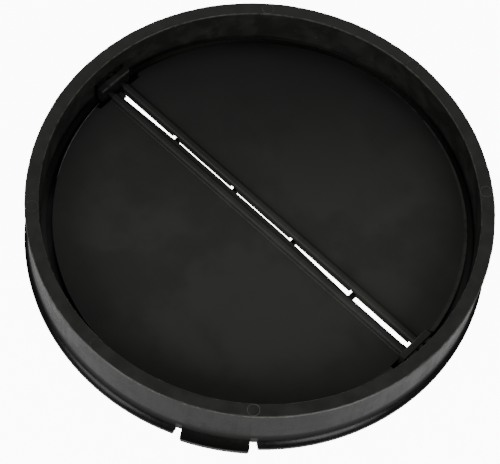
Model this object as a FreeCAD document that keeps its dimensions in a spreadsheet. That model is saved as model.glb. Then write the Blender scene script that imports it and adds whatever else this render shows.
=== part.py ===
import FreeCAD, Part
import os
import Sketcher

# Round backdraft damper: a spigot ring with two half-moon flaps that hinge side by side on its diameter.
# Millimetres. +Z is the way the air leaves, z = 0 is the foot of the ring, +X runs along the hinge line.

SIZES = [
    # Ring wall, foot flange and rim
    ("spigot_dia", 150.0),          # outside of the ring at the rim, slides into or over a 150 mm duct
    ("ring_height", 25.0),
    ("rim_width", 4.3),             # flat top of the wall
    ("bore_draft", 0.15),           # inner radius lost from the rim down to the seat
    ("rim_round", 0.4),
    ("rim_band", 1.3),              # height of the plain band above the parting line
    ("parting_step", 0.2),          # the wall below the parting line stands back by this
    ("flange_reach", 1.25),         # foot flange beyond the wall
    ("flange_edge", 1.8),           # thickness at the flange's rim
    ("flare_height", 4.7),          # hollow flare between wall and flange
    ("flange_round", 0.45),
    ("mark_dia", 3.8),              # shallow round witness marks left in the rim by the mould
    ("mark_depth", 0.08),
    ("mark_spacing", 42.0),         # three on each side, counted from the middle one, degrees
    # Snap tabs in the flange, two of them opposite each other
    ("tab_angle", -56.1),           # middle of the first tab, from the hinge line, degrees
    ("tab_span", 16.6),             # degrees
    ("tab_reach", 2.5),             # beyond the wall
    ("tab_corner", 0.9),
    ("notch_span_a", 1.8),          # gap on the side of smaller angle, degrees
    ("notch_span_b", 1.9),          # gap on the other side, degrees
    ("notch_rise", 0.5),            # cut above the flare
    ("notch_bite", 0.35),           # cut into the wall
    ("notch_corner", 1.6),          # rounded ends of the flange beside a notch
    ("notch_runout", 0.5),          # that rounding runs out this far past the flange
    ("slit_height", 2.8),           # deeper slit at the wall's foot in each notch
    ("slit_depth", 1.9),
    ("slit_shoulder", 0.2),         # each slit is narrower than its notch by this, away from the tab
    # Seat ledge under the flaps
    ("seat_overlap", 2.5),          # flap rim resting over the ledge
    ("seat_thick", 1.8),            # at the wall, where it is thinnest
    ("seat_clearance", 0.3),
    # Hinge brackets
    ("bracket_drop", 6.1),          # top of the bracket below the rim
    ("bracket_inset", 4.5),         # from the bore to the bracket's inner face
    ("bracket_width", 12.7),
    ("bar_thick", 2.2),             # raised bar along the bracket's inner face
    ("bar_round", 0.6),
    ("web_step", 0.8),              # web between bar and wall, lower than the bar
    ("web_width", 10.8),
    ("dimple_dia", 1.3),
    ("dimple_spacing", 3.0),
    ("dimple_depth", 1.0),
    ("dimple_setback", 0.9),        # from the back of the bar to the dimples' centres
    ("dimple_shift", 0.9),          # towards the rear flap
    ("boss_dia", 1.3),              # little round boss between the dimples
    ("boss_height", 0.45),
    # Hinges
    ("hinge_drop", 10.4),           # hinge axes below the rim
    ("hinge_spacing", 5.4),
    ("barrel_dia", 3.0),
    ("pin_dia", 2.1),
    ("pin_clearance", 0.06),        # radial running clearance
    ("pin_reach", 2.5),             # pin inside its socket
    ("pin_chamfer", 0.3),
    ("socket_end_gap", 0.4),
    ("flap_end_gap", 1.1),          # mean gap from barrel end to bracket face
    ("flap_slide", 0.9),            # both flaps have slid this far along their end play
    # Flaps
    ("flap_edge_gap", 3.2),         # mean gap from flap edge to bore
    ("flap_thick", 1.2),
    ("flap_tilt", 1.0),             # flaps fall outwards from the hinge, degrees
    ("flap_rim_height", 2.4),       # stiffening rim under the curved edge
    ("flap_rim_width", 1.3),
    ("flap_bracket_gap", 0.7),      # flap corner to the bracket as the flap swings past it
    ("flap_corner", 1.0),
    ("flap_edge_round", 0.3),
    ("root_fillet", 0.7),           # between barrel and plate
    # Lip and fingers of the front flap
    ("lip_reach", 1.5),             # beyond the barrel, at its widest
    ("lip_far_reach", 0.35),        # beyond the barrel, at the far end
    ("lip_thick", 0.8),
    ("lip_far_run", 29.0),          # grows to its widest over this length from the far end
    ("lip_near_run", 42.0),         # dies away over this length
    ("lip_end_gap", 13.0),          # from there to the barrel's near end
    ("lip_sink", 0.15),             # its end is sunk this far in the barrel
    ("far_ear_width", 2.5),         # small ear at the barrel's far end
    ("far_ear_reach", 1.6),
    ("near_ear_width", 1.4),        # and a smaller one near the other end
    ("near_ear_reach", 0.5),
    ("near_ear_gap", 0.8),          # from the barrel's end
    ("finger_pitch", 26.4),
    ("finger_width", 1.9),
    ("finger_thick", 0.9),
    ("finger_clearance", 0.7),      # under the rear flap's barrel
    ("finger_setback", 0.5),        # finger tip short of the rear flap's axis
    ("finger_back", 0.75),          # root of a finger, behind the barrel's axis
    ("finger_front", 1.2),          # and ahead of it
    ("finger_shoulder", 1.2),       # depth of the root's back
]

doc = FreeCAD.newDocument("damper")
sheet = doc.addObject("Spreadsheet::Sheet", "Sizes")
for row, (name, value) in enumerate(SIZES, start=1):
    sheet.set("A%d" % row, name)
    sheet.set("B%d" % row, str(value))
    sheet.setAlias("B%d" % row, name)
doc.recompute()


# Formulas over the sheet. Each is text, bound with setExpression, so that every shape follows the sheet.

def cell(name):
    return "Sizes." + name


def size(formula):
    value = sheet.evalExpression(formula)
    return float(getattr(value, "Value", value))


OUTER = "(Sizes.spigot_dia / 2)"
BORE = "(%s - Sizes.rim_width)" % OUTER
WALL = "(%s - Sizes.parting_step)" % OUTER
FLARE_TOP = "(Sizes.flange_edge + Sizes.flare_height)"
HINGE_Z = "(Sizes.ring_height - Sizes.hinge_drop)"
HINGE_Y = "(Sizes.hinge_spacing / 2)"
BARREL = "(Sizes.barrel_dia / 2)"
FLAP_RADIUS = "(%s - Sizes.flap_edge_gap)" % BORE
SEAT_RADIUS = "(%s - Sizes.seat_overlap)" % FLAP_RADIUS
WALL_MIDDLE = "(%s - Sizes.rim_width / 2)" % OUTER
BRACKET_X = "(%s - Sizes.bracket_inset)" % BORE
BRACKET_TOP = "(Sizes.ring_height - Sizes.bracket_drop)"
BARREL_END = "(%s - Sizes.flap_end_gap)" % BRACKET_X
FLAP_CORNER = "(sqrt((Sizes.bracket_width / 2 - %s) ^ 2 + (%s - %s) ^ 2) + Sizes.flap_bracket_gap)" % (
    HINGE_Y, BRACKET_TOP, HINGE_Z)
SEAT_DEPTH = "((%s + Sizes.flap_rim_height + Sizes.seat_clearance) / cos(Sizes.flap_tilt * 1deg))" % BARREL
SEAT_SLOPE = "tan(Sizes.flap_tilt * 1deg)"
SEAT_RIDGE = "(%s + %s * %s - %s)" % (HINGE_Z, HINGE_Y, SEAT_SLOPE, SEAT_DEPTH)
SEAT_EAVES = "(%s - %s * %s)" % (SEAT_RIDGE, OUTER, SEAT_SLOPE)
SEAT_UNDER = "(%s - Sizes.seat_thick)" % SEAT_EAVES
PAST_ALL = "Sizes.spigot_dia"       # a length that reaches past the whole ring


# Sketch helpers

def new_body(label):
    body = doc.addObject("PartDesign::Body", label)
    body.Label = label
    return body


def new_sketch(body, name, plane, lift=None, turn=None):
    """A sketch on one of the body's own origin planes, lifted along the normal or turned about the upright."""
    sketch = body.newObject("Sketcher::SketchObject", name)
    face = [o for o in body.Origin.OriginFeatures if o.Role == plane][0]
    sketch.AttachmentSupport = [(face, "")]
    sketch.MapMode = "FlatFace"
    if lift is not None:
        sketch.setExpression("AttachmentOffset.Base.z", lift)
    if turn is not None:
        sketch.AttachmentOffset = FreeCAD.Placement(FreeCAD.Vector(), FreeCAD.Rotation(FreeCAD.Vector(0, 1, 0), 1.0))
        sketch.setExpression("AttachmentOffset.Rotation.Angle", turn)
    return sketch


def bind(sketch, kind, where, formula, label):
    index = sketch.addConstraint(Sketcher.Constraint(kind, *where, size(formula)))
    sketch.renameConstraint(index, label)
    sketch.setExpression("Constraints." + label, formula)


def pin_point(sketch, curve, end, x, y, label):
    """Fixes one end of a curve at the two formulas x and y, measured from the sketch's origin."""
    bind(sketch, "DistanceX", (-1, 1, curve, end), x, label + "_x")
    bind(sketch, "DistanceY", (-1, 1, curve, end), y, label + "_y")


def outline(sketch, corners, arcs=None, label="p"):
    """A closed outline through corners. arcs gives {side number: (radius formula, bulge side)}."""
    arcs = arcs or {}
    points = [FreeCAD.Vector(size(x), size(y), 0) for x, y in corners]
    first = sketch.GeometryCount
    count = len(points)
    starts, ends = [], []
    for i in range(count):
        a, b = points[i], points[(i + 1) % count]
        if i in arcs:
            radius, bulge = size(arcs[i][0]), arcs[i][1]
            chord = b - a
            side = FreeCAD.Vector(-chord.y, chord.x, 0).normalize() * bulge
            sagitta = radius - (radius ** 2 - (chord.Length / 2) ** 2) ** 0.5
            middle = (a + b) * 0.5 + side * sagitta
            arc = Part.Arc(a, middle, b)
            index = sketch.addGeometry(arc)
            # an arc of a sketch always runs anticlockwise, so its start may be the side's far corner
            at_start = sketch.getPoint(index, 1).distanceToPoint(a) < 1e-6
            starts.append((index, 1 if at_start else 2))
            ends.append((index, 2 if at_start else 1))
        else:
            index = sketch.addGeometry(Part.LineSegment(a, b))
            starts.append((index, 1))
            ends.append((index, 2))
    for i in range(count):
        sketch.addConstraint(Sketcher.Constraint("Coincident", *ends[i], *starts[(i + 1) % count]))
    for i, (x, y) in enumerate(corners):
        pin_point(sketch, starts[i][0], starts[i][1], x, y, "%s%d" % (label, i))
    for i, (radius, bulge) in arcs.items():
        bind(sketch, "Radius", (first + i,), radius, "%s%d_radius" % (label, i))


def box_outline(sketch, x0, x1, y0, y1, label="p"):
    outline(sketch, [(x0, y0), (x1, y0), (x1, y1), (x0, y1)], label=label)


def circle(sketch, x, y, radius, label="c"):
    centre = FreeCAD.Vector(size(x), size(y), 0)
    index = sketch.addGeometry(Part.Circle(centre, FreeCAD.Vector(0, 0, 1), size(radius)))
    pin_point(sketch, index, 3, x, y, label)
    bind(sketch, "Radius", (index,), radius, label + "_radius")


def negative(formula):
    return "-(%s)" % formula


# Feature helpers

def pad(body, sketch, name, length, midplane=False, downwards=False):
    feature = body.newObject("PartDesign::Pad", name)
    feature.Profile = sketch
    feature.setExpression("Length", length)
    feature.Midplane = midplane
    feature.Reversed = downwards
    doc.recompute()
    return feature


def pocket(body, sketch, name, length=None, midplane=False, reverse=False):
    feature = body.newObject("PartDesign::Pocket", name)
    feature.Refine = False
    feature.Profile = sketch
    feature.Midplane = midplane
    feature.Reversed = reverse
    if length is None:
        feature.Type = "ThroughAll"
    else:
        feature.setExpression("Length", length)
    doc.recompute()
    return feature


def turned(body, sketch, name, kind="PartDesign::Revolution", angle=None):
    """Turns a section about the ring's axis, all the way round or symmetrically over an angle."""
    feature = body.newObject(kind, name)
    feature.Refine = False          # merged faces go wrong where the notches cross the flange's round edges
    feature.Profile = sketch
    feature.ReferenceAxis = (sketch, ["V_Axis"])
    if angle is None:
        feature.Angle = 360.0
    else:
        feature.Midplane = True
        feature.setExpression("Angle", angle)
    doc.recompute()
    return feature


def opposite(body, name, features):
    """Repeats features half a turn round the ring's axis."""
    pattern = body.newObject("PartDesign::PolarPattern", name)
    pattern.Refine = False
    pattern.Originals = features
    axis = [o for o in body.Origin.OriginFeatures if o.Role == "Z_Axis"][0]
    pattern.Axis = (axis, [""])
    pattern.Angle = 360.0
    pattern.Occurrences = 2
    body.Tip = pattern
    doc.recompute()
    return pattern


def mirrored(body, name, features):
    """Repeats features on the other side of the ring, across the plane square to the hinge line."""
    pattern = body.newObject("PartDesign::Mirrored", name)
    pattern.Originals = features
    plane = [o for o in body.Origin.OriginFeatures if o.Role == "YZ_Plane"][0]
    pattern.MirrorPlane = (plane, [""])
    body.Tip = pattern
    doc.recompute()
    return pattern


def rounded(body, name, wanted, radius, kind="PartDesign::Fillet"):
    """Rounds or chamfers those edges of the body for which wanted(edge) holds."""
    base = body.Tip
    names = ["Edge%d" % i for i, edge in enumerate(base.Shape.Edges, start=1) if wanted(edge)]
    feature = body.newObject(kind, name)
    feature.Refine = False
    feature.Base = (base, names)
    feature.setExpression("Radius" if kind.endswith("Fillet") else "Size", radius)
    body.Tip = feature
    doc.recompute()
    return feature


def near(a, b, tolerance=0.02):
    return abs(a - b) < tolerance


def is_ring_edge(edge, radius, z):
    """True for a whole or part circle about the ring's axis, at this radius and height."""
    curve = edge.Curve
    return (isinstance(curve, Part.Circle) and near(curve.Radius, size(radius))
            and near(curve.Center.z, size(z)) and near(curve.Center.x, 0) and near(curve.Center.y, 0))


# The ring: seat ledge first, then the wall turned around it, then flange, tabs and brackets

def seat_ledge(body):
    """A flat ledge whose top follows both closed flaps, like a shallow roof with its ridge on the hinge line."""
    section = new_sketch(body, "seat_section", "YZ_Plane")
    outline(section, [
        (negative(OUTER), SEAT_EAVES), (negative(OUTER), SEAT_UNDER),
        (OUTER, SEAT_UNDER), (OUTER, SEAT_EAVES), ("0", SEAT_RIDGE)])
    pad(body, section, "seat_roof", PAST_ALL, midplane=True)
    outside = new_sketch(body, "seat_outside", "XY_Plane")
    circle(outside, "0", "0", PAST_ALL, "far")
    circle(outside, "0", "0", WALL_MIDDLE, "wall")
    pocket(body, outside, "seat_trim", PAST_ALL, midplane=True)
    mouth = new_sketch(body, "seat_mouth", "XY_Plane")
    circle(mouth, "0", "0", SEAT_RADIUS, "mouth")
    pocket(body, mouth, "seat_opening", PAST_ALL, midplane=True)


def flare_radius(reach):
    return "(Sizes.flare_height ^ 2 + (%s) ^ 2) / (2 * (%s))" % (reach, reach)


def ring_wall(body):
    """The wall with its rim band, parting step and flared foot flange, turned in one section."""
    section = new_sketch(body, "wall_section", "XZ_Plane")
    top = "Sizes.ring_height"
    parting = "Sizes.ring_height - Sizes.rim_band"
    flange = WALL + " + Sizes.flange_reach"
    narrow = BORE + " - Sizes.bore_draft"
    inside_seat = SEAT_UNDER + " + Sizes.seat_thick / 2"
    outline(section, [
        (BORE, "0"),
        (flange, "0"),
        (flange, "Sizes.flange_edge"),
        (WALL, FLARE_TOP),
        (WALL, parting),
        (OUTER, parting),
        (OUTER, top),
        (BORE, top),
        (narrow, inside_seat),
        (BORE, inside_seat)],
        arcs={2: (flare_radius("Sizes.flange_reach"), 1)})
    turned(body, section, "wall")
    rounded(body, "rim_rounds", lambda edge: is_ring_edge(edge, OUTER, top) or is_ring_edge(edge, BORE, top)
            or is_ring_edge(edge, BORE, "0"), "Sizes.rim_round")
    rounded(body, "flange_rounds", lambda edge: is_ring_edge(edge, flange, "0")
            or is_ring_edge(edge, flange, "Sizes.flange_edge"), "Sizes.flange_round")


def rim_marks(body):
    """Shallow round marks in the rim, three on each side of the hinge line."""
    marks = new_sketch(body, "mark_outline", "XY_Plane", lift="Sizes.ring_height")
    for i in range(6):
        step = i % 3 - 1
        angle = "(%d + %d * Sizes.mark_spacing) * 1deg" % (90 if i < 3 else 270, step)
        circle(marks, "%s * cos(%s)" % (WALL_MIDDLE, angle), "%s * sin(%s)" % (WALL_MIDDLE, angle),
               "Sizes.mark_dia / 2", "mark%d" % i)
    pocket(body, marks, "marks", "Sizes.mark_depth")


def polar(radius, angle):
    return ("(%s) * cos(%s)" % (radius, angle), "(%s) * sin(%s)" % (radius, angle))


def snap_tabs(body):
    """Two tabs in the flange, each freed by a notch and a slit on both sides, reaching further out than the flange."""
    from_angle = "((Sizes.tab_angle - Sizes.tab_span / 2 - Sizes.notch_span_a) * 1deg)"
    to_angle = "((Sizes.tab_angle + Sizes.tab_span / 2 + Sizes.notch_span_b) * 1deg)"
    depth = WALL + " - Sizes.notch_bite"
    beyond = WALL + " + Sizes.tab_reach + Sizes.flange_reach"
    runout = WALL + " + Sizes.flange_reach + Sizes.notch_runout"
    straight = runout + " - Sizes.notch_corner"
    turn = "(Sizes.notch_corner / (%s) * 1rad)" % straight
    before, after = "(%s - %s)" % (from_angle, turn), "(%s + %s)" % (to_angle, turn)
    section = new_sketch(body, "notch_outline", "XY_Plane")
    outline(section, [
        polar(depth, from_angle), polar(straight, from_angle), polar(runout, before), polar(beyond, before),
        polar(beyond, after), polar(runout, after), polar(straight, to_angle), polar(depth, to_angle)],
        arcs={1: ("Sizes.notch_corner", 1), 3: (beyond, -1), 5: ("Sizes.notch_corner", 1), 7: (depth, 1)})
    notch_top = FLARE_TOP + " + Sizes.notch_rise"
    notch_cut = pocket(body, section, "notches", notch_top, reverse=True)
    inside = WALL + " - Sizes.slit_depth"
    shoulder = "(Sizes.slit_shoulder / (%s) * 1rad)" % inside
    slit_from, slit_to = "(%s + %s)" % (from_angle, shoulder), "(%s - %s)" % (to_angle, shoulder)
    slit = new_sketch(body, "slit_outline", "XY_Plane")
    outline(slit, [polar(inside, slit_from), polar(beyond, slit_from), polar(beyond, slit_to),
                   polar(inside, slit_to)], arcs={1: (beyond, -1), 3: (inside, 1)})
    slit_cut = pocket(body, slit, "slits", "Sizes.slit_height", reverse=True)
    section = new_sketch(body, "tab_section", "XZ_Plane", turn="Sizes.tab_angle")
    outline(section, [
        (BORE + " + Sizes.rim_round", "0"),
        (WALL + " + Sizes.tab_reach", "0"),
        (WALL + " + Sizes.tab_reach", "Sizes.flange_edge"),
        (WALL, FLARE_TOP),
        (WALL, notch_top),
        (BORE + " + Sizes.rim_round", notch_top)],
        arcs={2: (flare_radius("Sizes.tab_reach"), 1)})
    tab = turned(body, section, "tab", angle="Sizes.tab_span")
    opposite(body, "opposite_tab", [notch_cut, slit_cut, tab])

    def upright_at(radius):
        def wanted(edge):
            box = edge.BoundBox
            middle = box.Center
            return (box.XLength < 0.01 and box.YLength < 0.01 and near(box.ZMin, 0)
                    and near((middle.x ** 2 + middle.y ** 2) ** 0.5, size(radius)))
        return wanted

    rounded(body, "tab_corners", upright_at(WALL + " + Sizes.tab_reach"), "Sizes.tab_corner")


def hinge_brackets(body):
    """A raised bar with a lower web behind it, two dimples, a little boss and two blind pin sockets."""
    back = BRACKET_X + " + Sizes.bar_thick"
    bar = new_sketch(body, "bar_outline", "XY_Plane", lift=SEAT_UNDER)
    box_outline(bar, BRACKET_X, back, "-Sizes.bracket_width / 2", "Sizes.bracket_width / 2")
    bar_pad = pad(body, bar, "bracket_bar", "%s - %s" % (BRACKET_TOP, SEAT_UNDER))
    web = new_sketch(body, "web_outline", "XY_Plane", lift=SEAT_UNDER)
    box_outline(web, back + " - Sizes.bar_thick / 2", WALL_MIDDLE, "-Sizes.web_width / 2", "Sizes.web_width / 2")
    web_pad = pad(body, web, "bracket_web", "%s - Sizes.web_step - %s" % (BRACKET_TOP, SEAT_UNDER))
    floor = BRACKET_TOP + " - Sizes.web_step"
    row = back + " + Sizes.dimple_setback"
    dimples = new_sketch(body, "dimple_outline", "XY_Plane", lift=floor)
    circle(dimples, row, "Sizes.dimple_shift + Sizes.dimple_spacing / 2", "Sizes.dimple_dia / 2", "left")
    circle(dimples, row, "Sizes.dimple_shift - Sizes.dimple_spacing / 2", "Sizes.dimple_dia / 2", "right")
    dimple_cut = pocket(body, dimples, "dimples", "Sizes.dimple_depth")
    boss = new_sketch(body, "boss_outline", "XY_Plane", lift=floor)
    circle(boss, row, "Sizes.dimple_shift", "Sizes.boss_dia / 2", "boss")
    boss_pad = pad(body, boss, "boss", "Sizes.boss_height")
    sockets = new_sketch(body, "socket_outline", "YZ_Plane", lift=BRACKET_X)
    radius = "Sizes.pin_dia / 2 + Sizes.pin_clearance"
    circle(sockets, HINGE_Y, HINGE_Z, radius, "rear")
    circle(sockets, negative(HINGE_Y), HINGE_Z, radius, "front")
    socket_depth = "Sizes.pin_reach + Sizes.flap_slide + Sizes.socket_end_gap"
    socket_cut = pocket(body, sockets, "sockets", socket_depth, reverse=True)
    mirrored(body, "far_bracket", [bar_pad, web_pad, dimple_cut, boss_pad, socket_cut])
    face, edge_y = size(BRACKET_X), size("Sizes.bracket_width / 2")

    def bar_upright(edge):
        box = edge.BoundBox
        return (box.XLength < 0.01 and box.YLength < 0.01 and near(abs(box.XMin), face)
                and near(abs(box.YMin), edge_y))

    rounded(body, "bar_ends", bar_upright, "Sizes.bar_round")


def damper_ring():
    body = new_body("damper_ring")
    seat_ledge(body)
    ring_wall(body)
    rim_marks(body)
    snap_tabs(body)
    hinge_brackets(body)
    return body


# The flaps. Each is drawn flat about its own hinge axis, then set down and tilted to its place.

def flap(label, side):
    """One half-moon plate with its barrel and end pins. side is 1 for the rear flap and -1 for the front one."""
    body = new_body(label)
    underside = negative(BARREL)
    sign = "%d * " % side
    disc = new_sketch(body, label + "_disc", "XY_Plane", lift=underside)
    circle(disc, "0", negative(sign + HINGE_Y), FLAP_RADIUS, "disc")
    pad(body, disc, label + "_plate", "Sizes.flap_thick")
    rim = new_sketch(body, label + "_rim_outline", "XY_Plane", lift=underside)
    circle(rim, "0", negative(sign + HINGE_Y), FLAP_RADIUS, "outer")
    circle(rim, "0", negative(sign + HINGE_Y), FLAP_RADIUS + " - Sizes.flap_rim_width", "inner")
    pad(body, rim, label + "_rim", "Sizes.flap_rim_height", downwards=True)
    behind = new_sketch(body, label + "_behind", "XY_Plane")
    box_outline(behind, negative(PAST_ALL), PAST_ALL, "0", negative(sign + PAST_ALL))
    pocket(body, behind, label + "_half", PAST_ALL, midplane=True)
    corner_y = sign + FLAP_CORNER
    for name, end in (("near", 1), ("far", -1)):
        notch = new_sketch(body, "%s_%s_corner" % (label, name), "XY_Plane")
        box_outline(notch, "%d * %s" % (end, BARREL_END), "%d * %s" % (end, PAST_ALL), negative(corner_y), corner_y)
        pocket(body, notch, "%s_%s_notch" % (label, name), PAST_ALL, midplane=True)
    barrel = new_sketch(body, label + "_barrel_end", "YZ_Plane")
    circle(barrel, "0", "0", BARREL, "barrel")
    pad(body, barrel, label + "_barrel", "2 * " + BARREL_END, midplane=True)
    return body


def flap_finish(body, label, side):
    """Fillet along the barrel, rounded plate corners and edge, then the end pins."""
    top = size("Sizes.flap_thick") - size(BARREL)
    end_x = size(BARREL_END)

    def along_barrel(edge):
        box = edge.BoundBox
        return box.XLength > end_x and box.YLength < 0.01 and near(box.ZMin, top) and side * box.YMin > 0

    rounded(body, label + "_root", along_barrel, "Sizes.root_fillet")

    def at_corner(edge):
        box = edge.BoundBox
        from_centre = (box.XMin ** 2 + (box.YMin + side * size(HINGE_Y)) ** 2) ** 0.5
        return box.XLength < 0.01 and box.YLength < 0.01 and near(from_centre, size(FLAP_RADIUS))

    rounded(body, label + "_corners", at_corner, "Sizes.flap_corner")

    def on_rim(edge):
        curve = edge.Curve
        return isinstance(curve, Part.Circle) and near(curve.Radius, size(FLAP_RADIUS)) and near(curve.Center.z, top)

    rounded(body, label + "_edge", on_rim, "Sizes.flap_edge_round")
    pins = new_sketch(body, label + "_pin_end", "YZ_Plane")
    circle(pins, "0", "0", "Sizes.pin_dia / 2", "pin")
    pin_length = "2 * (%s + Sizes.pin_reach)" % BRACKET_X
    pad(body, pins, label + "_pins", pin_length, midplane=True)
    tip = size(BRACKET_X + " + Sizes.pin_reach")
    rounded(body, label + "_pin_tips", lambda edge: near(abs(edge.BoundBox.Center.x), tip),
            "Sizes.pin_chamfer", "PartDesign::Chamfer")


def slot_lip(body):
    """A thin lip along the slot side of the front barrel, widest at the middle, and an ear near each end."""
    level = "Sizes.flap_thick - %s - Sizes.lip_thick" % BARREL
    far_end, near_end = negative(BARREL_END), "(%s - Sizes.lip_end_gap)" % BARREL_END
    widest = BARREL + " + Sizes.lip_reach"
    lip = new_sketch(body, "lip_outline", "XY_Plane", lift=level)
    outline(lip, [
        (far_end, "0"),
        (near_end, "0"),
        (near_end, BARREL + " - Sizes.lip_sink"),
        (near_end + " - Sizes.lip_near_run", widest),
        (far_end + " + Sizes.lip_far_run", widest),
        (far_end, BARREL + " + Sizes.lip_far_reach")])
    pad(body, lip, "slot_lip", "Sizes.lip_thick")
    near_ear = "(%s - Sizes.near_ear_gap)" % BARREL_END
    for name, x0, x1, reach in (
            ("far_ear", far_end, far_end + " + Sizes.far_ear_width", "Sizes.far_ear_reach"),
            ("near_ear", near_ear + " - Sizes.near_ear_width", near_ear, "Sizes.near_ear_reach")):
        ear = new_sketch(body, name + "_outline", "XY_Plane", lift=level)
        box_outline(ear, x0, x1, "0", "%s + %s" % (BARREL, reach))
        pad(body, ear, name, "Sizes.lip_thick")


def finger_outline(sketch):
    """Section of one finger: down from the barrel, then out under the rear flap's barrel."""
    top = "-(%s + Sizes.finger_clearance)" % BARREL
    under = top + " - Sizes.finger_thick"
    tip = "Sizes.hinge_spacing - Sizes.finger_setback"
    outline(sketch, [
        ("-Sizes.finger_back", "0"),
        ("Sizes.finger_front", "0"),
        (BARREL, top),
        (tip, top),
        (tip, under),
        ("0", under),
        ("-Sizes.finger_back", "-Sizes.finger_shoulder")])


def slot_fingers(body):
    """Four fingers that bridge the slot from below."""
    for i, step in enumerate(("-1.5", "-0.5", "0.5", "1.5"), start=1):
        name = "finger_%d" % i
        section = new_sketch(body, name + "_section", "YZ_Plane", lift="%s * Sizes.finger_pitch" % step)
        finger_outline(section)
        pad(body, section, name, "Sizes.finger_width", midplane=True)


def place_flap(body, side):
    body.Placement = FreeCAD.Placement(FreeCAD.Vector(), FreeCAD.Rotation(FreeCAD.Vector(1, 0, 0), 1.0))
    body.setExpression("Placement.Base.x", "Sizes.flap_slide")
    body.setExpression("Placement.Base.y", "%d * %s" % (side, HINGE_Y))
    body.setExpression("Placement.Base.z", HINGE_Z)
    body.setExpression("Placement.Rotation.Angle", "%d * Sizes.flap_tilt" % -side)


def rear_flap():
    body = flap("rear_flap", 1)
    flap_finish(body, "rear_flap", 1)
    place_flap(body, 1)
    return body


def front_flap():
    body = flap("front_flap", -1)
    flap_finish(body, "front_flap", -1)
    slot_lip(body)
    slot_fingers(body)
    place_flap(body, -1)
    return body


bodies = [damper_ring(), rear_flap(), front_flap()]
doc.recompute()

failed = [o.Name for o in doc.Objects if "Invalid" in o.State or "Error" in o.State]
if failed:
    raise RuntimeError("failed objects: " + ", ".join(failed))
for body in bodies:
    if body.Shape.isNull() or not body.Shape.isValid() or len(body.Shape.Solids) != 1:
        raise RuntimeError("bad shape: " + body.Label)

os.makedirs("parts", exist_ok=True)
for body in bodies:
    body.Shape.exportStep("parts/%s.step" % body.Label)
    box = body.Shape.BoundBox
    print("%-12s volume %8.1f mm3  x %.2f..%.2f  y %.2f..%.2f  z %.2f..%.2f" % (
        body.Label, body.Shape.Volume, box.XMin, box.XMax, box.YMin, box.YMax, box.ZMin, box.ZMax))
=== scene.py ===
# %% [markdown]
# # A backdraft damper for a round air duct
#
# The object is a black moulded ring with two half-moon flaps that swing on
# hinge barrels across its middle. Its shapes come packed from the CAD model,
# and this lesson dresses them: it sets up the camera and a soft studio, builds
# the moulded-plastic finishes from nodes, and adds the small traces that a
# mould leaves, such as flash and pin marks.

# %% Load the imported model
import math

import bmesh
import bpy
import mathutils
from mathutils import Matrix, Vector


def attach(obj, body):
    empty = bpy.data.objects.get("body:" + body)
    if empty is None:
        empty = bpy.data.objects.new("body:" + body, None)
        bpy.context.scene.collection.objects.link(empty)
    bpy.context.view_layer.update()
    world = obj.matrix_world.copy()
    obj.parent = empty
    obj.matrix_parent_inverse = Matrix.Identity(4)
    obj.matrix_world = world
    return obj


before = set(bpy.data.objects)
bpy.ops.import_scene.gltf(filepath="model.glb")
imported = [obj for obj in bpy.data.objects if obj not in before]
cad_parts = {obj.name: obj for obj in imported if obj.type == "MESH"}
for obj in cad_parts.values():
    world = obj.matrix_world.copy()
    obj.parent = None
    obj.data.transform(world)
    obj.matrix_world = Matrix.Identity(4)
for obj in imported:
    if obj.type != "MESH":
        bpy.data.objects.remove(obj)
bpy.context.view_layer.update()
MM = 0.001
print("nodes:", sorted(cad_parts))

# %% [markdown]
# ## The camera
#
# The photograph looks down on the ring from about 61 degrees above the floor,
# from far away and with a long lens, so the circles are nearly true ellipses.
# A camera matrix has the picture's right, up and backward directions as its
# columns, so three directions and a place are all that it needs. The other
# way, an angle in degrees for each axis, hides the slight roll.

# %% Place the camera
CAMERA_PLACE = Vector((185.0, -247.7, 583.3)) * MM
CAMERA_FORWARD = Vector((-0.2834, 0.3740, -0.8831)).normalized()
CAMERA_UP = Vector((-0.6354, 0.6164, 0.4650))
LENS_LENGTH = 144.05
SENSOR_WIDTH = 36.0


def make_camera():
    right = CAMERA_FORWARD.cross(CAMERA_UP).normalized()
    up = right.cross(CAMERA_FORWARD)
    data = bpy.data.cameras.new("photo_camera")
    data.lens = LENS_LENGTH
    data.sensor_width = SENSOR_WIDTH
    data.clip_start = 0.01
    camera = bpy.data.objects.new("photo_camera", data)
    bpy.context.scene.collection.objects.link(camera)
    turn = Matrix((right, up, -CAMERA_FORWARD)).transposed().to_4x4()
    camera.matrix_world = Matrix.Translation(CAMERA_PLACE) @ turn
    bpy.context.scene.camera = camera
    return camera


camera = make_camera()
print("camera at", tuple(round(c, 3) for c in camera.location))

# %% [markdown]
# ## Helpers for node groups
#
# An effect that several finishes share is a node group: it is built once, has
# named inputs and outputs, and each finish gives it its own numbers.

# %% Helpers for nodes


def new_group(name, inputs, outputs):
    """An empty shader group with its sockets; inputs maps a name to its start value."""
    group = bpy.data.node_groups.new(name, "ShaderNodeTree")
    for label, value in inputs.items():
        socket = group.interface.new_socket(
            label, in_out="INPUT", socket_type="NodeSocketFloat"
        )
        socket.default_value = value
    for label in outputs:
        group.interface.new_socket(
            label, in_out="OUTPUT", socket_type="NodeSocketFloat"
        )
    source = group.nodes.new("NodeGroupInput")
    result = group.nodes.new("NodeGroupOutput")
    return group, source.outputs, result.inputs


def feed(tree, socket, value):
    """Links value into socket if it is a socket itself, and sets it otherwise."""
    if isinstance(value, bpy.types.NodeSocket):
        tree.links.new(value, socket)
    else:
        socket.default_value = value


def maths(tree, operation, *values, clamp=False):
    node = tree.nodes.new("ShaderNodeMath")
    node.operation = operation
    node.use_clamp = clamp
    for socket, value in zip(node.inputs, values):
        feed(tree, socket, value)
    return node.outputs[0]


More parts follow.
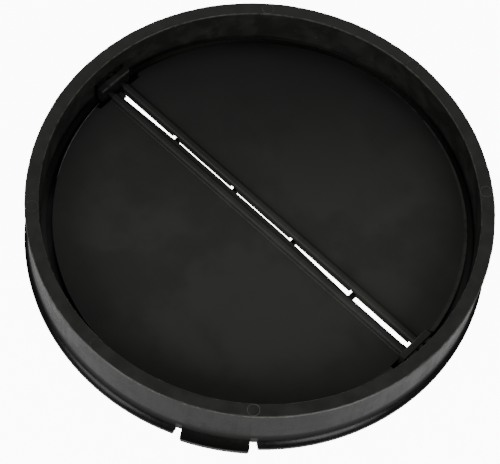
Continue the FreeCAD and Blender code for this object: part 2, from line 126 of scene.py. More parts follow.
def noise(tree, where, scale, detail=2.0, roughness=0.5):
    node = tree.nodes.new("ShaderNodeTexNoise")
    feed(tree, node.inputs["Vector"], where)
    feed(tree, node.inputs["Scale"], scale)
    node.inputs["Detail"].default_value = detail
    node.inputs["Roughness"].default_value = roughness
    return node.outputs["Fac"]


def ramp(tree, value, low, high, out_low=0.0, out_high=1.0, soft=True):
    """Maps value from low..high to out_low..out_high, held at both ends."""
    node = tree.nodes.new("ShaderNodeMapRange")
    node.interpolation_type = "SMOOTHSTEP" if soft else "LINEAR"
    for socket, number in zip(node.inputs, (value, low, high, out_low, out_high)):
        feed(tree, socket, number)
    return node.outputs[0]


def object_place(tree):
    return tree.nodes.new("ShaderNodeTexCoord").outputs["Object"]


def object_axes(tree):
    """Object coordinates as three separate numbers, in metres."""
    split = tree.nodes.new("ShaderNodeSeparateXYZ")
    tree.links.new(object_place(tree), split.inputs[0])
    return split.outputs


def level_distance(tree, x, y):
    """How far a point lies from the upright axis, in metres."""
    squares = [maths(tree, "MULTIPLY", value, value) for value in (x, y)]
    return maths(tree, "SQRT", maths(tree, "ADD", *squares))


def per_millimetres(tree, size):
    """The scale of a texture whose features are to be about size millimetres."""
    return maths(tree, "DIVIDE", 1.0 / MM, size)


# %% [markdown]
# ## The studio
#
# Black plastic shows hardly any colour of its own. What the eye reads is what
# it mirrors, so the studio matters as much as the finish. The ring lies on a
# light table: a pale floor that glows, so that white shows through the slot
# between the flaps and lights the outside wall from below. The sky above is
# dim, which keeps the flat faces dark. A floor that is only lit from above
# would be in shadow under the ring, and the slot would be black.

# %% Lay the floor
FLOOR_REACH = 3.0
FLOOR_WHITE = (0.92, 0.92, 0.92, 1.0)
FLOOR_DROP = 0.02
FLOOR_SEEN = 12.0
FLOOR_GLOW, SHADE_GLOW = 0.25, 0.1
SHADE_FROM, SHADE_TO = 68.0, 78.0


def paint_floor():
    """Pale paper that glows, but not in the shade at the ring's foot.

    It is clear from below, so that the ring's underside can be looked at.
    """
    paint = bpy.data.materials.new("floor_paper")
    paint.use_nodes = True
    tree = paint.node_tree
    shader = tree.nodes["Principled BSDF"]
    shader.inputs["Base Color"].default_value = FLOOR_WHITE
    shader.inputs["Roughness"].default_value = 0.9
    shader.inputs["Emission Color"].default_value = FLOOR_WHITE
    away = level_distance(tree, *object_axes(tree)[:2])
    glow = ramp(tree, away, SHADE_FROM * MM, SHADE_TO * MM, SHADE_GLOW, FLOOR_GLOW)
    rays = tree.nodes.new("ShaderNodeLightPath")
    seen = ramp(tree, rays.outputs["Is Camera Ray"], 0.0, 1.0, glow, FLOOR_SEEN)
    tree.links.new(seen, shader.inputs["Emission Strength"])
    clear = tree.nodes.new("ShaderNodeBsdfTransparent")
    side = tree.nodes.new("ShaderNodeNewGeometry").outputs["Backfacing"]
    choice = tree.nodes.new("ShaderNodeMixShader")
    for socket, source in zip(choice.inputs, (side, shader.outputs[0], clear.outputs[0])):
        tree.links.new(source, socket)
    tree.links.new(choice.outputs[0], tree.nodes["Material Output"].inputs["Surface"])
    return paint


def add_object(shape, name, material):
    """Turns a bmesh into an object that stands at the origin and wears one material."""
    mesh = bpy.data.meshes.new(name)
    shape.to_mesh(mesh)
    shape.free()
    mesh.materials.append(material)
    made = bpy.data.objects.new(name, mesh)
    bpy.context.scene.collection.objects.link(made)
    return made


def make_floor():
    shape = bmesh.new()
    bmesh.ops.create_grid(shape, x_segments=1, y_segments=1, size=FLOOR_REACH)
    bmesh.ops.translate(shape, verts=shape.verts, vec=(0.0, 0.0, -FLOOR_DROP * MM))
    floor = add_object(shape, "floor", paint_floor())
    return floor


floor = make_floor()
print("floor reaches", FLOOR_REACH, "m each way")

# %% Light the studio
SKY_COLOUR = (1.0, 1.0, 1.0, 1.0)
SKY_STRENGTH = 0.17


def light_sky():
    """An even dim sky, which keeps the flat black faces dark."""
    world = bpy.data.worlds.new("studio")
    world.use_nodes = True
    sky = world.node_tree.nodes["Background"]
    sky.inputs["Color"].default_value = SKY_COLOUR
    sky.inputs["Strength"].default_value = SKY_STRENGTH
    bpy.context.scene.world = world


def soft_lamp(name, place, width, watts):
    """A round lamp of some width in metres, aimed at the ring."""
    data = bpy.data.lights.new(name, "AREA")
    data.shape = "DISK"
    data.size = width
    data.energy = watts
    lamp = bpy.data.objects.new(name, data)
    bpy.context.scene.collection.objects.link(lamp)
    lamp.location = place
    ahead = -Vector(place).normalized()
    lamp.rotation_euler = ahead.to_track_quat("-Z", "Y").to_euler()
    return lamp


light_sky()
key_lamp = soft_lamp("key_lamp", (-0.5, 0.6, 1.1), 0.8, 1.0)
side_lamp = soft_lamp("side_lamp", (-0.25, -1.1, 0.6), 0.7, 4.5)
fill_lamp = soft_lamp("fill_lamp", (1.1, -0.3, 0.55), 0.7, 6.0)

# %% [markdown]
# ## The mould's grain
#
# The cavity of a cheap mould is left as the spark erosion made it, so every
# face carries a fine dull grain, finer than half a millimetre. A little slow
# cloudiness on top shows where the plastic cooled unevenly. Both are noise on
# Object coordinates, so the grain keeps its size in every piece.

# %% Build the grain group


def build_grain_group():
    group, given, result = new_group(
        "mould_grain", {"Grain Size": 0.25, "Cloud Size": 22.0}, ["Height", "Cloud"]
    )
    place = object_place(group)
    fine = noise(group, place, per_millimetres(group, given["Grain Size"]), 2.0, 0.6)
    slow = noise(group, place, per_millimetres(group, given["Cloud Size"]), 3.0, 0.5)
    group.links.new(fine, result["Height"])
    group.links.new(ramp(group, slow, 0.3, 0.7), result["Cloud"])
    return group


grain_group = build_grain_group()
print("group:", grain_group.name)

# %% [markdown]
# ## Where a point lies on the ring
#
# The ring doesn't look the same all over: the wall is deeper black than the rim;
# the bore, the far bracket, the seat below the flaps and the flare above the
# foot carry painted shade, darkest at the seat; the foot's lower edge carries
# a painted highlight; and the edges are rubbed grey, partly with a painted
# highlight. Painting masks by hand would need UV maps. The ring is round, so
# the distance from its axis and the height above the floor say enough, and
# both come from Object coordinates. The mask of the flare above the foot does
# more than colour: it also drives a bump, which makes the cove look as deep as
# in the photograph.

# %% Helpers for round places


def round_place(tree):
    """How far a point lies from the ring's axis, and how high, both in millimetres."""
    x, y, z = object_axes(tree)
    radius = maths(tree, "MULTIPLY", level_distance(tree, x, y), 1.0 / MM)
    return radius, maths(tree, "MULTIPLY", z, 1.0 / MM)


def across(tree, direction):
    """How far a point lies along a level direction, in millimetres."""
    level = object_axes(tree)[:2]
    parts = [maths(tree, "MULTIPLY", a, b / MM) for a, b in zip(level, direction)]
    return maths(tree, "ADD", *parts)


def near(tree, value, middle, reach):
    """One at middle, nothing from reach on."""
    away = maths(tree, "ABSOLUTE", maths(tree, "SUBTRACT", value, middle))
    return ramp(tree, away, 0.0, reach, 1.0, 0.0)


def both(tree, first, second):
    return maths(tree, "MULTIPLY", first, second)


def either(tree, first, second):
    return maths(tree, "MAXIMUM", first, second)


# %% Mask the ring's places
OUTER, BORE, TOP = 75.0, 70.7, 25.0
SEAT_TOP, SEAT_GAP = 10.6, 68.8
BRACKET_TOP, BRACKET_FACE = 18.9, 66.4
FLARE_FOOT, FLARE_TOP = 1.9, 9.8


def build_ring_places():
    labels = ["Bore", "Ledge", "Seat", "Wall", "Flare", "Foot", "Edge"]
    group, given, result = new_group("ring_places", {"Edge Width": 0.45}, labels)
    radius, height = round_place(group)
    inside = ramp(group, radius, BORE + 0.1, BORE + 0.3, 1.0, 0.0)
    on_wall = ramp(group, radius, BORE - 0.5, BORE - 0.3)
    # Painted shade: the bore's wall and everything inside the far end, the far bracket
    # included, are darkened in the finish.
    far_end = ramp(group, across(group, (-1.0, 0.0)), 50.0, 60.0)
    group.links.new(both(group, inside, either(group, on_wall, far_end)), result["Bore"])
    low = ramp(group, height, SEAT_TOP, SEAT_TOP + 0.5, 1.0, 0.0)
    hidden = ramp(group, radius, SEAT_GAP - 0.3, SEAT_GAP + 0.3, 1.0, 0.0)
    open_part = maths(group, "SUBTRACT", 1.0, hidden)
    group.links.new(both(group, both(group, inside, low), open_part), result["Ledge"])
    # Painted shade goes on the seat hidden below the flaps and on the bracket's inner face.
    low = both(group, low, hidden)
    bracket_shade = both(
        group,
        ramp(group, radius, BRACKET_FACE + 0.5, BRACKET_FACE + 0.7, 1.0, 0.0),
        ramp(group, height, BRACKET_TOP - 1.3, BRACKET_TOP - 1.0, 1.0, 0.0),
    )
    group.links.new(both(group, inside, either(group, low, bracket_shade)), result["Seat"])
    outside = ramp(group, radius, OUTER - 0.5, OUTER - 0.3)
    below = ramp(group, height, TOP - 0.7, TOP - 0.4, 1.0, 0.0)
    group.links.new(both(group, outside, below), result["Wall"])
    # The flare mask drives painted shade in the finish as well as the cove's bump.
    foot = ramp(group, height, FLARE_FOOT, FLARE_TOP, 1.0, 0.0, soft=False)
    group.links.new(both(group, outside, both(group, foot, foot)), result["Flare"])
    # Painted highlight: this band along the foot's lower edge is made paler in the finish.
    bottom = ramp(group, height, 0.9, FLARE_FOOT, 1.0, 0.0)
    group.links.new(both(group, outside, bottom), result["Foot"])
    # The edge mask carries rubbing and a painted highlight along the rim's edges and the
    # bracket's lip.
    width = given["Edge Width"]
    rims = either(
        group, near(group, radius, OUTER, width), near(group, radius, BORE, width)
    )
    rims = both(group, rims, near(group, height, TOP, 0.9))
    lip = both(
        group,
        near(group, radius, BRACKET_FACE, width),
        near(group, height, BRACKET_TOP, 0.5),
    )
    group.links.new(either(group, rims, lip), result["Edge"])
    return group


ring_places = build_ring_places()
print("masks:", [s.name for s in ring_places.interface.items_tree if s.in_out == "OUTPUT"])

# %% [markdown]
# ## Wear and dust, with a painted highlight on the edges
#
# Black plastic goes grey where it rubs, and dust shows on it at once. Both are
# shared by the ring and the flaps, so both are groups. Wear is an edge mask
# broken up by noise, and its grey is partly a painted highlight along the
# edges. Dust is a thin film with soft clouds, and scattered specks from a
# Voronoi pattern, of which only some cells keep theirs. The clouds also break
# up the painted shade in the bore and carry painted light on the flaps. Walls
# that slid along the mould also carry faint upright streaks.

# %% Build the wear, dust and streak groups; the wear group also paints a highlight


def build_wear_and_highlight_group():
    group, given, result = new_group(
        "edge_wear_and_highlight", {"Edge": 0.0, "Patch Size": 3.0, "Amount": 0.5}, ["Worn"]
    )
    scale = per_millimetres(group, given["Patch Size"])
    patches = ramp(group, noise(group, object_place(group), scale, 5.0, 0.65), 0.30, 0.58)
    worn_and_highlit = both(group, both(group, patches, given["Edge"]), given["Amount"])
    group.links.new(worn_and_highlit, result["Worn"])
    return group


def build_dust_group():
    inputs = {"Cloud Size": 30.0, "Cell Size": 4.0, "Speck Size": 0.1}
    group, given, result = new_group("settled_dust", inputs, ["Film", "Specks"])
    place = object_place(group)
    scale = per_millimetres(group, given["Cloud Size"])
    # The clouds serve as the flaps' dust, shape their painted light, and break up the bore's
    # painted shade.
    group.links.new(
        ramp(group, noise(group, place, scale, 4.0, 0.55), 0.35, 0.65), result["Film"]
    )
    cells = group.nodes.new("ShaderNodeTexVoronoi")
    group.links.new(place, cells.inputs["Vector"])
    feed(group, cells.inputs["Scale"], per_millimetres(group, given["Cell Size"]))
    split = group.nodes.new("ShaderNodeSeparateColor")
    group.links.new(cells.outputs["Color"], split.inputs[0])
    kept = ramp(group, split.outputs[0], 0.72, 0.95)
    size = both(group, given["Speck Size"], kept)
    gap = maths(group, "SUBTRACT", size, cells.outputs["Distance"])
    group.links.new(ramp(group, gap, 0.0, 0.02), result["Specks"])
    return group


def build_streak_group():
    """Upright streaks, left where the part was drawn out of its mould."""
    group, given, result = new_group("draw_streaks", {"Streak Width": 2.0}, ["Streaks"])
    squeeze = group.nodes.new("ShaderNodeMapping")
    squeeze.inputs["Scale"].default_value = (1.0, 1.0, 0.06)
    group.links.new(object_place(group), squeeze.inputs["Vector"])
    scale = per_millimetres(group, given["Streak Width"])
    pattern = noise(group, squeeze.outputs["Vector"], scale, 3.0, 0.6)
    group.links.new(ramp(group, pattern, 0.35, 0.65), result["Streaks"])
    return group


wear_and_highlight_group = build_wear_and_highlight_group()
dust_group = build_dust_group()
streak_group = build_streak_group()
print("groups:", wear_and_highlight_group.name, dust_group.name, streak_group.name)

# %% [markdown]
# ## The plastic itself
#
# Ring and flaps are the same black polypropylene. Its own colour is nearly
# black with a trace of warmth, and the grain makes the gloss wide and soft.
# The flaps came from another cavity with a duller surface. Each finish starts
# as plain plastic, and then gets rubbed edges with a painted highlight and dust
# from the groups, and painted light and shade from masks.

# %% Helpers for the finishes


def use_group(tree, group, **values):
    node = tree.nodes.new("ShaderNodeGroup")
    node.node_tree = group
    for label, value in values.items():
        feed(tree, node.inputs[label.replace("_", " ").title()], value)
    return node.outputs


def mix_colour(tree, share, first, second):
    node = tree.nodes.new("ShaderNodeMix")
    node.data_type = "RGBA"
    feed(tree, node.inputs["Factor"], share)
    feed(tree, node.inputs["A"], first)
    feed(tree, node.inputs["B"], second)
    return node.outputs["Result"]


def add_bump(tree, height, depth, below=None):
    """Raises the surface by height times depth, over the bump below if there is one."""
    bump = tree.nodes.new("ShaderNodeBump")
    bump.inputs["Distance"].default_value = depth * MM
    tree.links.new(height, bump.inputs["Height"])
    if below is not None:
        tree.links.new(below, bump.inputs["Normal"])
    return bump.outputs["Normal"]


def start_plastic(name, gloss_level):
    material = bpy.data.materials.new(name)
    material.use_nodes = True
    shader = material.node_tree.nodes["Principled BSDF"]
    shader.inputs["Specular IOR Level"].default_value = gloss_level
    return material, material.node_tree, shader


# %% Finish the ring
RING_DARK = (0.022, 0.022, 0.0200, 1)
RING_LIGHT = (0.040, 0.040, 0.0358, 1)
# Painted shade for the bore and the far bracket.
BORE_SHADE_BLACK = (0.010, 0.010, 0.0092, 1)
LEDGE_DUST = (0.040, 0.040, 0.0365, 1)
WALL_BLACK = (0.004, 0.0041, 0.0034, 1)
# Painted highlight for the foot's lower edge.
FOOT_HIGHLIGHT = (0.080, 0.080, 0.073, 1)
# Painted shade for the seat, the bracket's inner face and the flare.
PAINTED_SHADE_BLACK = (0.001, 0.001, 0.001, 1)
# Rubbed grey, partly a painted highlight along the edges.
RUBBED_AND_HIGHLIGHT = (0.13, 0.13, 0.12, 1)
DUST = (0.16, 0.16, 0.145, 1)
RING_GLOSS, RING_ROUGH = 0.3, (0.34, 0.42)
BORE_DULL, WALL_DRAWN = 0.4, (0.10, 0.14)
FLARE_DEPTH = 3.8
GRAIN_DEPTH = 0.02


def make_ring_finish():
    material, tree, shader = start_plastic("ring_black", RING_GLOSS)
    place = use_group(tree, ring_places, edge_width=0.45)
    grain = use_group(tree, grain_group, grain_size=0.3, cloud_size=6.0)
    dust = use_group(tree, dust_group, cloud_size=7.0, cell_size=3.0, speck_size=0.07)
    wear_and_highlight = use_group(tree, wear_and_highlight_group, edge=place["Edge"], patch_size=2.5, amount=0.7)
    colour = mix_colour(tree, grain["Cloud"], RING_DARK, RING_LIGHT)
    # Painted shade in the bore and at the far bracket, broken up by the dust group's clouds.
    bore_shade = both(tree, place["Bore"], ramp(tree, dust["Film"], 0.0, 1.0, 0.5, 1.0))
    colour = mix_colour(tree, bore_shade, colour, BORE_SHADE_BLACK)
    colour = mix_colour(tree, place["Ledge"], colour, LEDGE_DUST)
    colour = mix_colour(tree, both(tree, place["Wall"], 0.9), colour, WALL_BLACK)
    # Painted shade: the seat, the bracket's inner face and the flare above the foot are
    # darkened towards near black.
    shaded = ramp(tree, place["Flare"], 0.0, 0.5, 0.0, 0.3)
    colour = mix_colour(tree, either(tree, place["Seat"], shaded), colour, PAINTED_SHADE_BLACK)
    # Painted highlight along the foot's lower edge.
    colour = mix_colour(tree, both(tree, place["Foot"], 0.8), colour, FOOT_HIGHLIGHT)
    # Rubbed grey along the edges: partly rubbed plastic, partly a painted highlight.
    colour = mix_colour(tree, wear_and_highlight["Worn"], colour, RUBBED_AND_HIGHLIGHT)
    specks = both(tree, dust["Specks"], maths(tree, "SUBTRACT", 1.0, place["Seat"]))
    colour = mix_colour(tree, both(tree, specks, 0.5), colour, DUST)
    tree.links.new(colour, shader.inputs["Base Color"])
    gloss = ramp(tree, grain["Cloud"], 0.0, 1.0, *RING_ROUGH)
    gloss = maths(tree, "ADD", gloss, both(tree, place["Bore"], BORE_DULL))
    streaks = use_group(tree, streak_group, streak_width=2.2)["Streaks"]
    drawn = ramp(tree, streaks, 0.0, 1.0, *WALL_DRAWN)
    gloss = maths(tree, "SUBTRACT", gloss, both(tree, place["Wall"], drawn))
    tree.links.new(gloss, shader.inputs["Roughness"])
    hollow = add_bump(tree, place["Flare"], FLARE_DEPTH)
    normal = add_bump(tree, grain["Height"], GRAIN_DEPTH, hollow)
    tree.links.new(normal, shader.inputs["Normal"])
    return material


ring_finish = make_ring_finish()
print("finish:", ring_finish.name)

# %% Finish the flaps
FLAP_DARK = (0.006, 0.006, 0.006, 1)
FLAP_LIGHT = (0.010, 0.010, 0.0098, 1)
# Flap dust together with painted light, which leans towards +x and -y.
FLAP_DUST_AND_LIGHT = (0.050, 0.0505, 0.0448, 1)
LIGHT_LEAN, LEAN_FROM, LEAN_TO = (0.635, -0.616), -58.0, 12.0
FLAP_GLOSS, FLAP_ROUGH = 0.32, (0.46, 0.54)
FLAP_EDGE_FROM, FLAP_EDGE_TO = 66.6, 67.4


def make_flap_finish():
    material, tree, shader = start_plastic("flap_black", FLAP_GLOSS)
    radius, height = round_place(tree)
    grain = use_group(tree, grain_group, grain_size=0.25, cloud_size=22.0)
    dust = use_group(tree, dust_group, cloud_size=26.0, cell_size=5.0, speck_size=0.05)
    edge = ramp(tree, radius, FLAP_EDGE_FROM, FLAP_EDGE_TO)
    # The flap's rim is rubbed grey, partly rubbed plastic and partly a painted highlight.
    wear_and_highlight = use_group(tree, wear_and_highlight_group, edge=edge, patch_size=4.0, amount=0.35)
    colour = mix_colour(tree, grain["Cloud"], FLAP_DARK, FLAP_LIGHT)
    # Dust film and painted light: paler towards +x and -y, and half as strong near the rim,
    # where painted shade falls; the dust clouds break it up.
    light_lean = ramp(tree, across(tree, LIGHT_LEAN), LEAN_FROM, LEAN_TO)
    light_spread = both(tree, ramp(tree, radius, 50.0, 68.0, 1.0, 0.5), light_lean)
    dust_and_light = both(tree, ramp(tree, dust["Film"], 0.0, 1.0, 0.65, 1.0), light_spread)
    colour = mix_colour(tree, dust_and_light, colour, FLAP_DUST_AND_LIGHT)
    colour = mix_colour(tree, wear_and_highlight["Worn"], colour, RUBBED_AND_HIGHLIGHT)
    colour = mix_colour(tree, both(tree, dust["Specks"], 0.25), colour, DUST)
    tree.links.new(colour, shader.inputs["Base Color"])
    gloss = ramp(tree, grain["Cloud"], 0.0, 1.0, *FLAP_ROUGH)
    tree.links.new(gloss, shader.inputs["Roughness"])
    tree.links.new(add_bump(tree, grain["Height"], GRAIN_DEPTH), shader.inputs["Normal"])
    return material


flap_finish = make_flap_finish()
print("finish:", flap_finish.name)

# %% Dress the CAD nodes
NODE_FINISH = {
    "damper_ring": ring_finish,
    "rear_flap": flap_finish,
    "front_flap": flap_finish,
}
for node, finish in NODE_FINISH.items():
    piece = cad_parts[node]
    for holder in piece.material_slots:
        holder.material = finish
    print(node, "wears", [s.material.name for s in piece.material_slots])

# %% [markdown]
# ## Flash, the mould's thin seams
#
# Where two halves of a mould meet, a little plastic squeezes out and stays as
# a paper-thin ragged line. It catches the light along the rim's edges, and its
# paler grey finish is partly a painted highlight there. One way is a bump, but
# a bump can't break the outline. These are real slivers: a small section is
# spun round the axis, and noise lets it swell and shrink.

# %% Helpers for flash
FLASH_STEPS = 900
LONG_WAVE, SHORT_WAVE = 9.0, 1.6
SWELL_LEAST, SWELL_MORE = 0.6, 1.8


def wander(along, seed, pitch):
    """Soft noise from 0 to 1 at a point, with waves about pitch millimetres long."""
    where = Vector(along) / (pitch * MM) + Vector((seed, 0.0, 0.0))
    return 0.5 + 0.5 * mathutils.noise.noise(where)


def keep_piece(shape, name, body, finish):
    """Turns a bmesh into a piece that rides on a body and wears a finish."""
    bmesh.ops.recalc_face_normals(shape, faces=shape.faces)
    piece = add_object(shape, name, finish)
    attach(piece, body)
    print(name, len(piece.data.vertices), "vertices")
    return piece


def round_flash(name, radius, height, size, seed):
    """A closed sliver round the ring's axis; its section is centred on radius and height."""
    shape = bmesh.new()
    corners = ((-1, 0), (0, -1), (1, 0), (0, 1))
    points = [
        shape.verts.new(((radius + a * size) * MM, 0.0, (height + b * size) * MM))
        for a, b in corners
    ]
    lines = [shape.edges.new((points[i], points[i - 1])) for i in range(4)]
    bmesh.ops.spin(
        shape, geom=points + lines, cent=(0, 0, 0), axis=(0, 0, 1),
        dvec=(0, 0, 0), angle=math.tau, steps=FLASH_STEPS, use_merge=True,
    )
    for vert in shape.verts:
        flat = Vector((vert.co.x, vert.co.y, 0.0)).normalized() * radius * MM
        middle = Vector((flat.x, flat.y, height * MM))
        waves = wander(middle, seed, LONG_WAVE) * wander(middle, seed + 9.0, SHORT_WAVE)
        vert.co = middle + (vert.co - middle) * (SWELL_LEAST + waves * SWELL_MORE)
    return keep_piece(shape, name, "ring", flash_highlight_finish)


# %% Finish for flash and burrs, whose paler grey is partly a painted highlight
# The paler grey of flash, pin-mark edges and burrs is partly a painted highlight along the
# rim's edges.
FLASH_DARK = (0.080, 0.080, 0.072, 1)
FLASH_LIGHT = (0.15, 0.15, 0.137, 1)
FLASH_GLOSS, FLASH_ROUGH, FLASH_GRAIN = 0.5, (0.35, 0.5), 0.03


def make_flash_highlight_finish():
    material, tree, shader = start_plastic("flash_grey_highlight", FLASH_GLOSS)
    grain = use_group(tree, grain_group, grain_size=0.2, cloud_size=2.0)
    colour = mix_colour(tree, grain["Cloud"], FLASH_DARK, FLASH_LIGHT)
    tree.links.new(colour, shader.inputs["Base Color"])
    gloss = ramp(tree, grain["Cloud"], 0.0, 1.0, *FLASH_ROUGH)
    tree.links.new(gloss, shader.inputs["Roughness"])
    tree.links.new(add_bump(tree, grain["Height"], FLASH_GRAIN), shader.inputs["Normal"])
    return material


flash_highlight_finish = make_flash_highlight_finish()
print("finish:", flash_highlight_finish.name)

# %% Flash along the rim
# Each has a radius and a height, half the width of its section, and a noise seed.
outer_flash = round_flash("rim_outer_flash", OUTER - 0.04, TOP - 0.38, 0.26, 3.0)
inner_flash = round_flash("rim_inner_flash", BORE + 0.14, TOP - 0.14, 0.05, 8.0)

# %% [markdown]
# ## Flash along the barrels
#
# The two hinge barrels were moulded in halves as well, and a fin of flash
# stands from each into the slot. It narrows the slot and gives it a ragged
# edge. Four fingers of the front flap pass under the rear barrel, so its fin
# stops short of each, and it can swing past them.

# %% Fins in the slot
HINGE_Y, HINGE_Z, BARREL = 2.7, 14.6, 1.5
FINGERS = (-38.7, -12.3, 14.1, 40.5)
FINGER_ROOM = 1.25
SLOT_FROM, SLOT_TO = -63.0, 64.4
FIN_ROOT, FIN_THICK, FIN_CUTS = 0.25, 0.16, 1.6
FIN_WAVE, FIN_SWING = 5.0, 0.08


def fin_spans():
    """The stretches of the slot between the fingers, as pairs of x in millimetres."""
    ends = [SLOT_FROM]
    for middle in FINGERS:
        ends += [middle - FINGER_ROOM, middle + FINGER_ROOM]
    ends.append(SLOT_TO)
    return list(zip(ends[::2], ends[1::2]))


def barrel_fin(name, body, side, reach, seed):
    """A thin fin from a barrel into the slot; side is 1 for the rear, -1 for the front."""
    shape = bmesh.new()
    root = side * (HINGE_Y - BARREL + FIN_ROOT)
    tip = side * (HINGE_Y - BARREL - reach)
    for start, end in fin_spans():
        size = Matrix.Diagonal(
            ((end - start) * MM, abs(root - tip) * MM, FIN_THICK * MM, 1.0)
        )
        place = ((start + end) / 2, (root + tip) / 2, HINGE_Z)
        made = bmesh.ops.create_cube(
            shape, size=1.0, matrix=Matrix.Translation(Vector(place) * MM) @ size
        )
        runs = [
            e for e in shape.edges
            if e.verts[0] in made["verts"] and abs(e.verts[0].co.x - e.verts[1].co.x) > MM
        ]
        cuts = int((end - start) * FIN_CUTS)
        bmesh.ops.subdivide_edges(shape, edges=runs, cuts=cuts, use_grid_fill=True)
    for vert in shape.verts:
        if abs(vert.co.y - tip * MM) < 0.05 * MM:
            sway = wander(vert.co, seed, FIN_WAVE) - 0.45
            vert.co.y += side * sway * FIN_SWING * MM
    return keep_piece(shape, name, body, flap_finish)


rear_fin = barrel_fin("rear_barrel_flash", "rear_flap", 1, 0.75, 1.0)
front_fin = barrel_fin("front_barrel_flash", "front_flap", -1, 0.2, 5.0)

# %% A sliver on the front flap's rim
FLAP_RIM, FLAP_SHIFT = 67.42, 0.9
FLAP_EDGE_TOP, FLAP_DROOP = 14.35, 0.0175
SLIVER_FROM, SLIVER_TO, SLIVER_STEPS = -173.5, -146.0, 160
SLIVER_RADIUS, SLIVER_END = 0.17, 0.05


def flap_sliver():
    """A fine sliver along part of the flap's curved rim, thinner to both ends.

    The flap droops away from its hinge, and the sliver follows.
    """
    shape = bmesh.new()
    made = bmesh.ops.create_circle(
        shape, segments=6, radius=SLIVER_RADIUS * MM,
        matrix=Matrix.Translation(Vector((FLAP_RIM, 0.0, FLAP_EDGE_TOP)) * MM)
        @ Matrix.Rotation(math.radians(90), 4, "X"),
    )
    lines = shape.edges[:]
    start = Matrix.Rotation(math.radians(SLIVER_FROM), 3, "Z")
    bmesh.ops.rotate(shape, cent=(0, 0, 0), matrix=start, verts=made["verts"])
    cap = bmesh.ops.contextual_create(shape, geom=lines)["faces"]
    bmesh.ops.spin(
        shape, geom=cap, cent=(0, 0, 0), axis=(0, 0, 1), dvec=(0, 0, 0),
        angle=math.radians(SLIVER_TO - SLIVER_FROM), steps=SLIVER_STEPS,
    )
    for vert in shape.verts:
        flat = Vector((vert.co.x, vert.co.y, 0.0)).normalized() * FLAP_RIM * MM
        middle = Vector((flat.x, flat.y, FLAP_EDGE_TOP * MM))
        turn = math.degrees(math.atan2(flat.y, flat.x))
        share = (turn - SLIVER_FROM) / (SLIVER_TO - SLIVER_FROM)
        fade = max(SLIVER_END, math.sin(math.pi * min(max(share, 0.0), 1.0)) ** 0.5)
        vert.co = middle + (vert.co - middle) * fade * (0.6 + wander(middle, 6.0, 4.0))
        vert.co.x += FLAP_SHIFT * MM
        vert.co.z -= FLAP_DROOP * abs(flat.y)
    return keep_piece(shape, "front_rim_flash", "front_flap", flash_highlight_finish)


sliver = flap_sliver()

# %% [markdown]
# ## Pin marks, parting ridges and burrs
#
# Six pins pushed the ring out of its mould, and each left a shallow dimple
# with a raised edge. In line with two of them, a low ridge runs down the wall
# where two slides of the mould met. A few burrs stayed where the trimming
# knife slipped.

# %% Raised edges of the pin marks
MARKS = ((-132, 0.6), (-90, 0.35), (-48, 1.0), (48, 0.7), (90, 0.6), (132, 0.7))
MARK_CIRCLE, MARK_RADIUS = 72.85, 1.9
MARK_THICK = 0.1


def mark_edges():
    """Small rings round the pin marks; noise sinks parts of them into the rim."""
    shape = bmesh.new()
    for degrees, strength in MARKS:
        turn = Matrix.Rotation(math.radians(degrees), 4, "Z")
        middle = turn @ Vector((MARK_CIRCLE * MM, 0.0, TOP * MM))
        start = Matrix.Translation(middle + Vector((MARK_RADIUS * MM, 0.0, 0.0)))
        made = bmesh.ops.create_circle(
            shape, segments=8, radius=MARK_THICK * strength * MM,
            matrix=start @ Matrix.Rotation(math.radians(90), 4, "X"),
        )
        section = [e for e in shape.edges if e.verts[0] in made["verts"]]
        bmesh.ops.spin(
            shape, geom=made["verts"] + section, cent=middle, axis=(0, 0, 1),
            dvec=(0, 0, 0), angle=math.tau, steps=72, use_merge=True,
        )
    for vert in shape.verts:
        flat = Vector((vert.co.x, vert.co.y, 0.0))
        vert.co.z += (wander(flat, 4.0, 1.2) - 0.75) * 0.12 * MM
    return keep_piece(shape, "pin_mark_edges", "ring", flash_highlight_finish)


mark_rims = mark_edges()

# %% Parting ridges down the wall
RIDGE_ANGLES = (-48.0, 132.0)
RIDGE_FOOT, RIDGE_HEAD = 6.6, 24.4
RIDGE_THICK, RIDGE_WIDE, RIDGE_CREST = 0.10, 0.50, 0.35
BAND_FOOT = 23.7
WALL_OUT = 74.8
COVE_TOP, COVE_CURVE = 6.5, 0.047


def wall_radius(height):
    """The outer wall's radius: band at the top, flare at the foot."""
    if height > BAND_FOOT:
        return OUTER
    drop = max(0.0, COVE_TOP - height)
    return WALL_OUT + COVE_CURVE * drop * drop


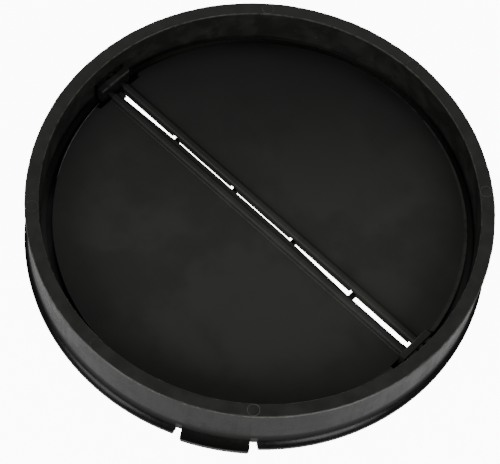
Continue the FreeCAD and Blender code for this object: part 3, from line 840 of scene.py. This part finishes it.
def parting_ridges():
    """One low bar that is bent to the wall, narrowed outside, and turned to both places."""
    shape = bmesh.new()
    size = Matrix.Diagonal(
        (RIDGE_THICK * MM, RIDGE_WIDE * MM, (RIDGE_HEAD - RIDGE_FOOT) * MM, 1.0)
    )
    middle = Vector((0.0, 0.0, (RIDGE_HEAD + RIDGE_FOOT) / 2 * MM))
    bmesh.ops.create_cube(shape, size=1.0, matrix=Matrix.Translation(middle) @ size)
    runs = [e for e in shape.edges if abs(e.verts[0].co.z - e.verts[1].co.z) > MM]
    bmesh.ops.subdivide_edges(shape, edges=runs, cuts=48)
    for vert in shape.verts:
        if vert.co.x > 0:
            vert.co.y *= RIDGE_CREST
        vert.co.x += wall_radius(vert.co.z / MM) * MM
    first = shape.verts[:] + shape.edges[:] + shape.faces[:]
    copy = bmesh.ops.duplicate(shape, geom=first)["geom"]
    for angle, geometry in zip(RIDGE_ANGLES, (first, copy)):
        verts = [g for g in geometry if isinstance(g, bmesh.types.BMVert)]
        turn = Matrix.Rotation(math.radians(angle), 3, "Z")
        bmesh.ops.rotate(shape, cent=(0, 0, 0), matrix=turn, verts=verts)
    return keep_piece(shape, "parting_ridges", "ring", ring_finish)


ridges = parting_ridges()

# %% Burrs along the rim
BURRS = (
    (-69.5, OUTER - 0.1, 0.30), (-61.0, OUTER - 0.2, 0.22), (-104.0, BORE + 0.1, 0.16),
    (-112.0, BORE + 0.1, 0.13), (-139.0, BORE + 0.1, 0.15), (-32.0, OUTER - 0.1, 0.14),
    (28.0, BORE + 0.1, 0.14), (71.0, OUTER - 0.1, 0.20), (118.0, OUTER - 0.1, 0.16),
    (163.0, BORE + 0.1, 0.14),
)


def rim_burrs():
    """Small lumps, each roughened by its own noise."""
    shape = bmesh.new()
    for number, (degrees, radius, size) in enumerate(BURRS):
        turn = Matrix.Rotation(math.radians(degrees), 4, "Z")
        place = Matrix.Translation(Vector((radius, 0.0, TOP - 0.1)) * MM)
        stretch = Matrix.Diagonal((0.8, 1.9, 0.7, 1.0))
        made = bmesh.ops.create_icosphere(
            shape, subdivisions=3, radius=size * MM, matrix=turn @ place @ stretch
        )
        for vert in made["verts"]:
            middle = turn @ Vector((radius * MM, 0.0, (TOP - 0.1) * MM))
            vert.co = middle + (vert.co - middle) * (
                0.4 + 1.1 * wander(vert.co, 2.0 + number, 0.35)
            )
    return keep_piece(shape, "rim_burrs", "ring", flash_highlight_finish)


burrs = rim_burrs()
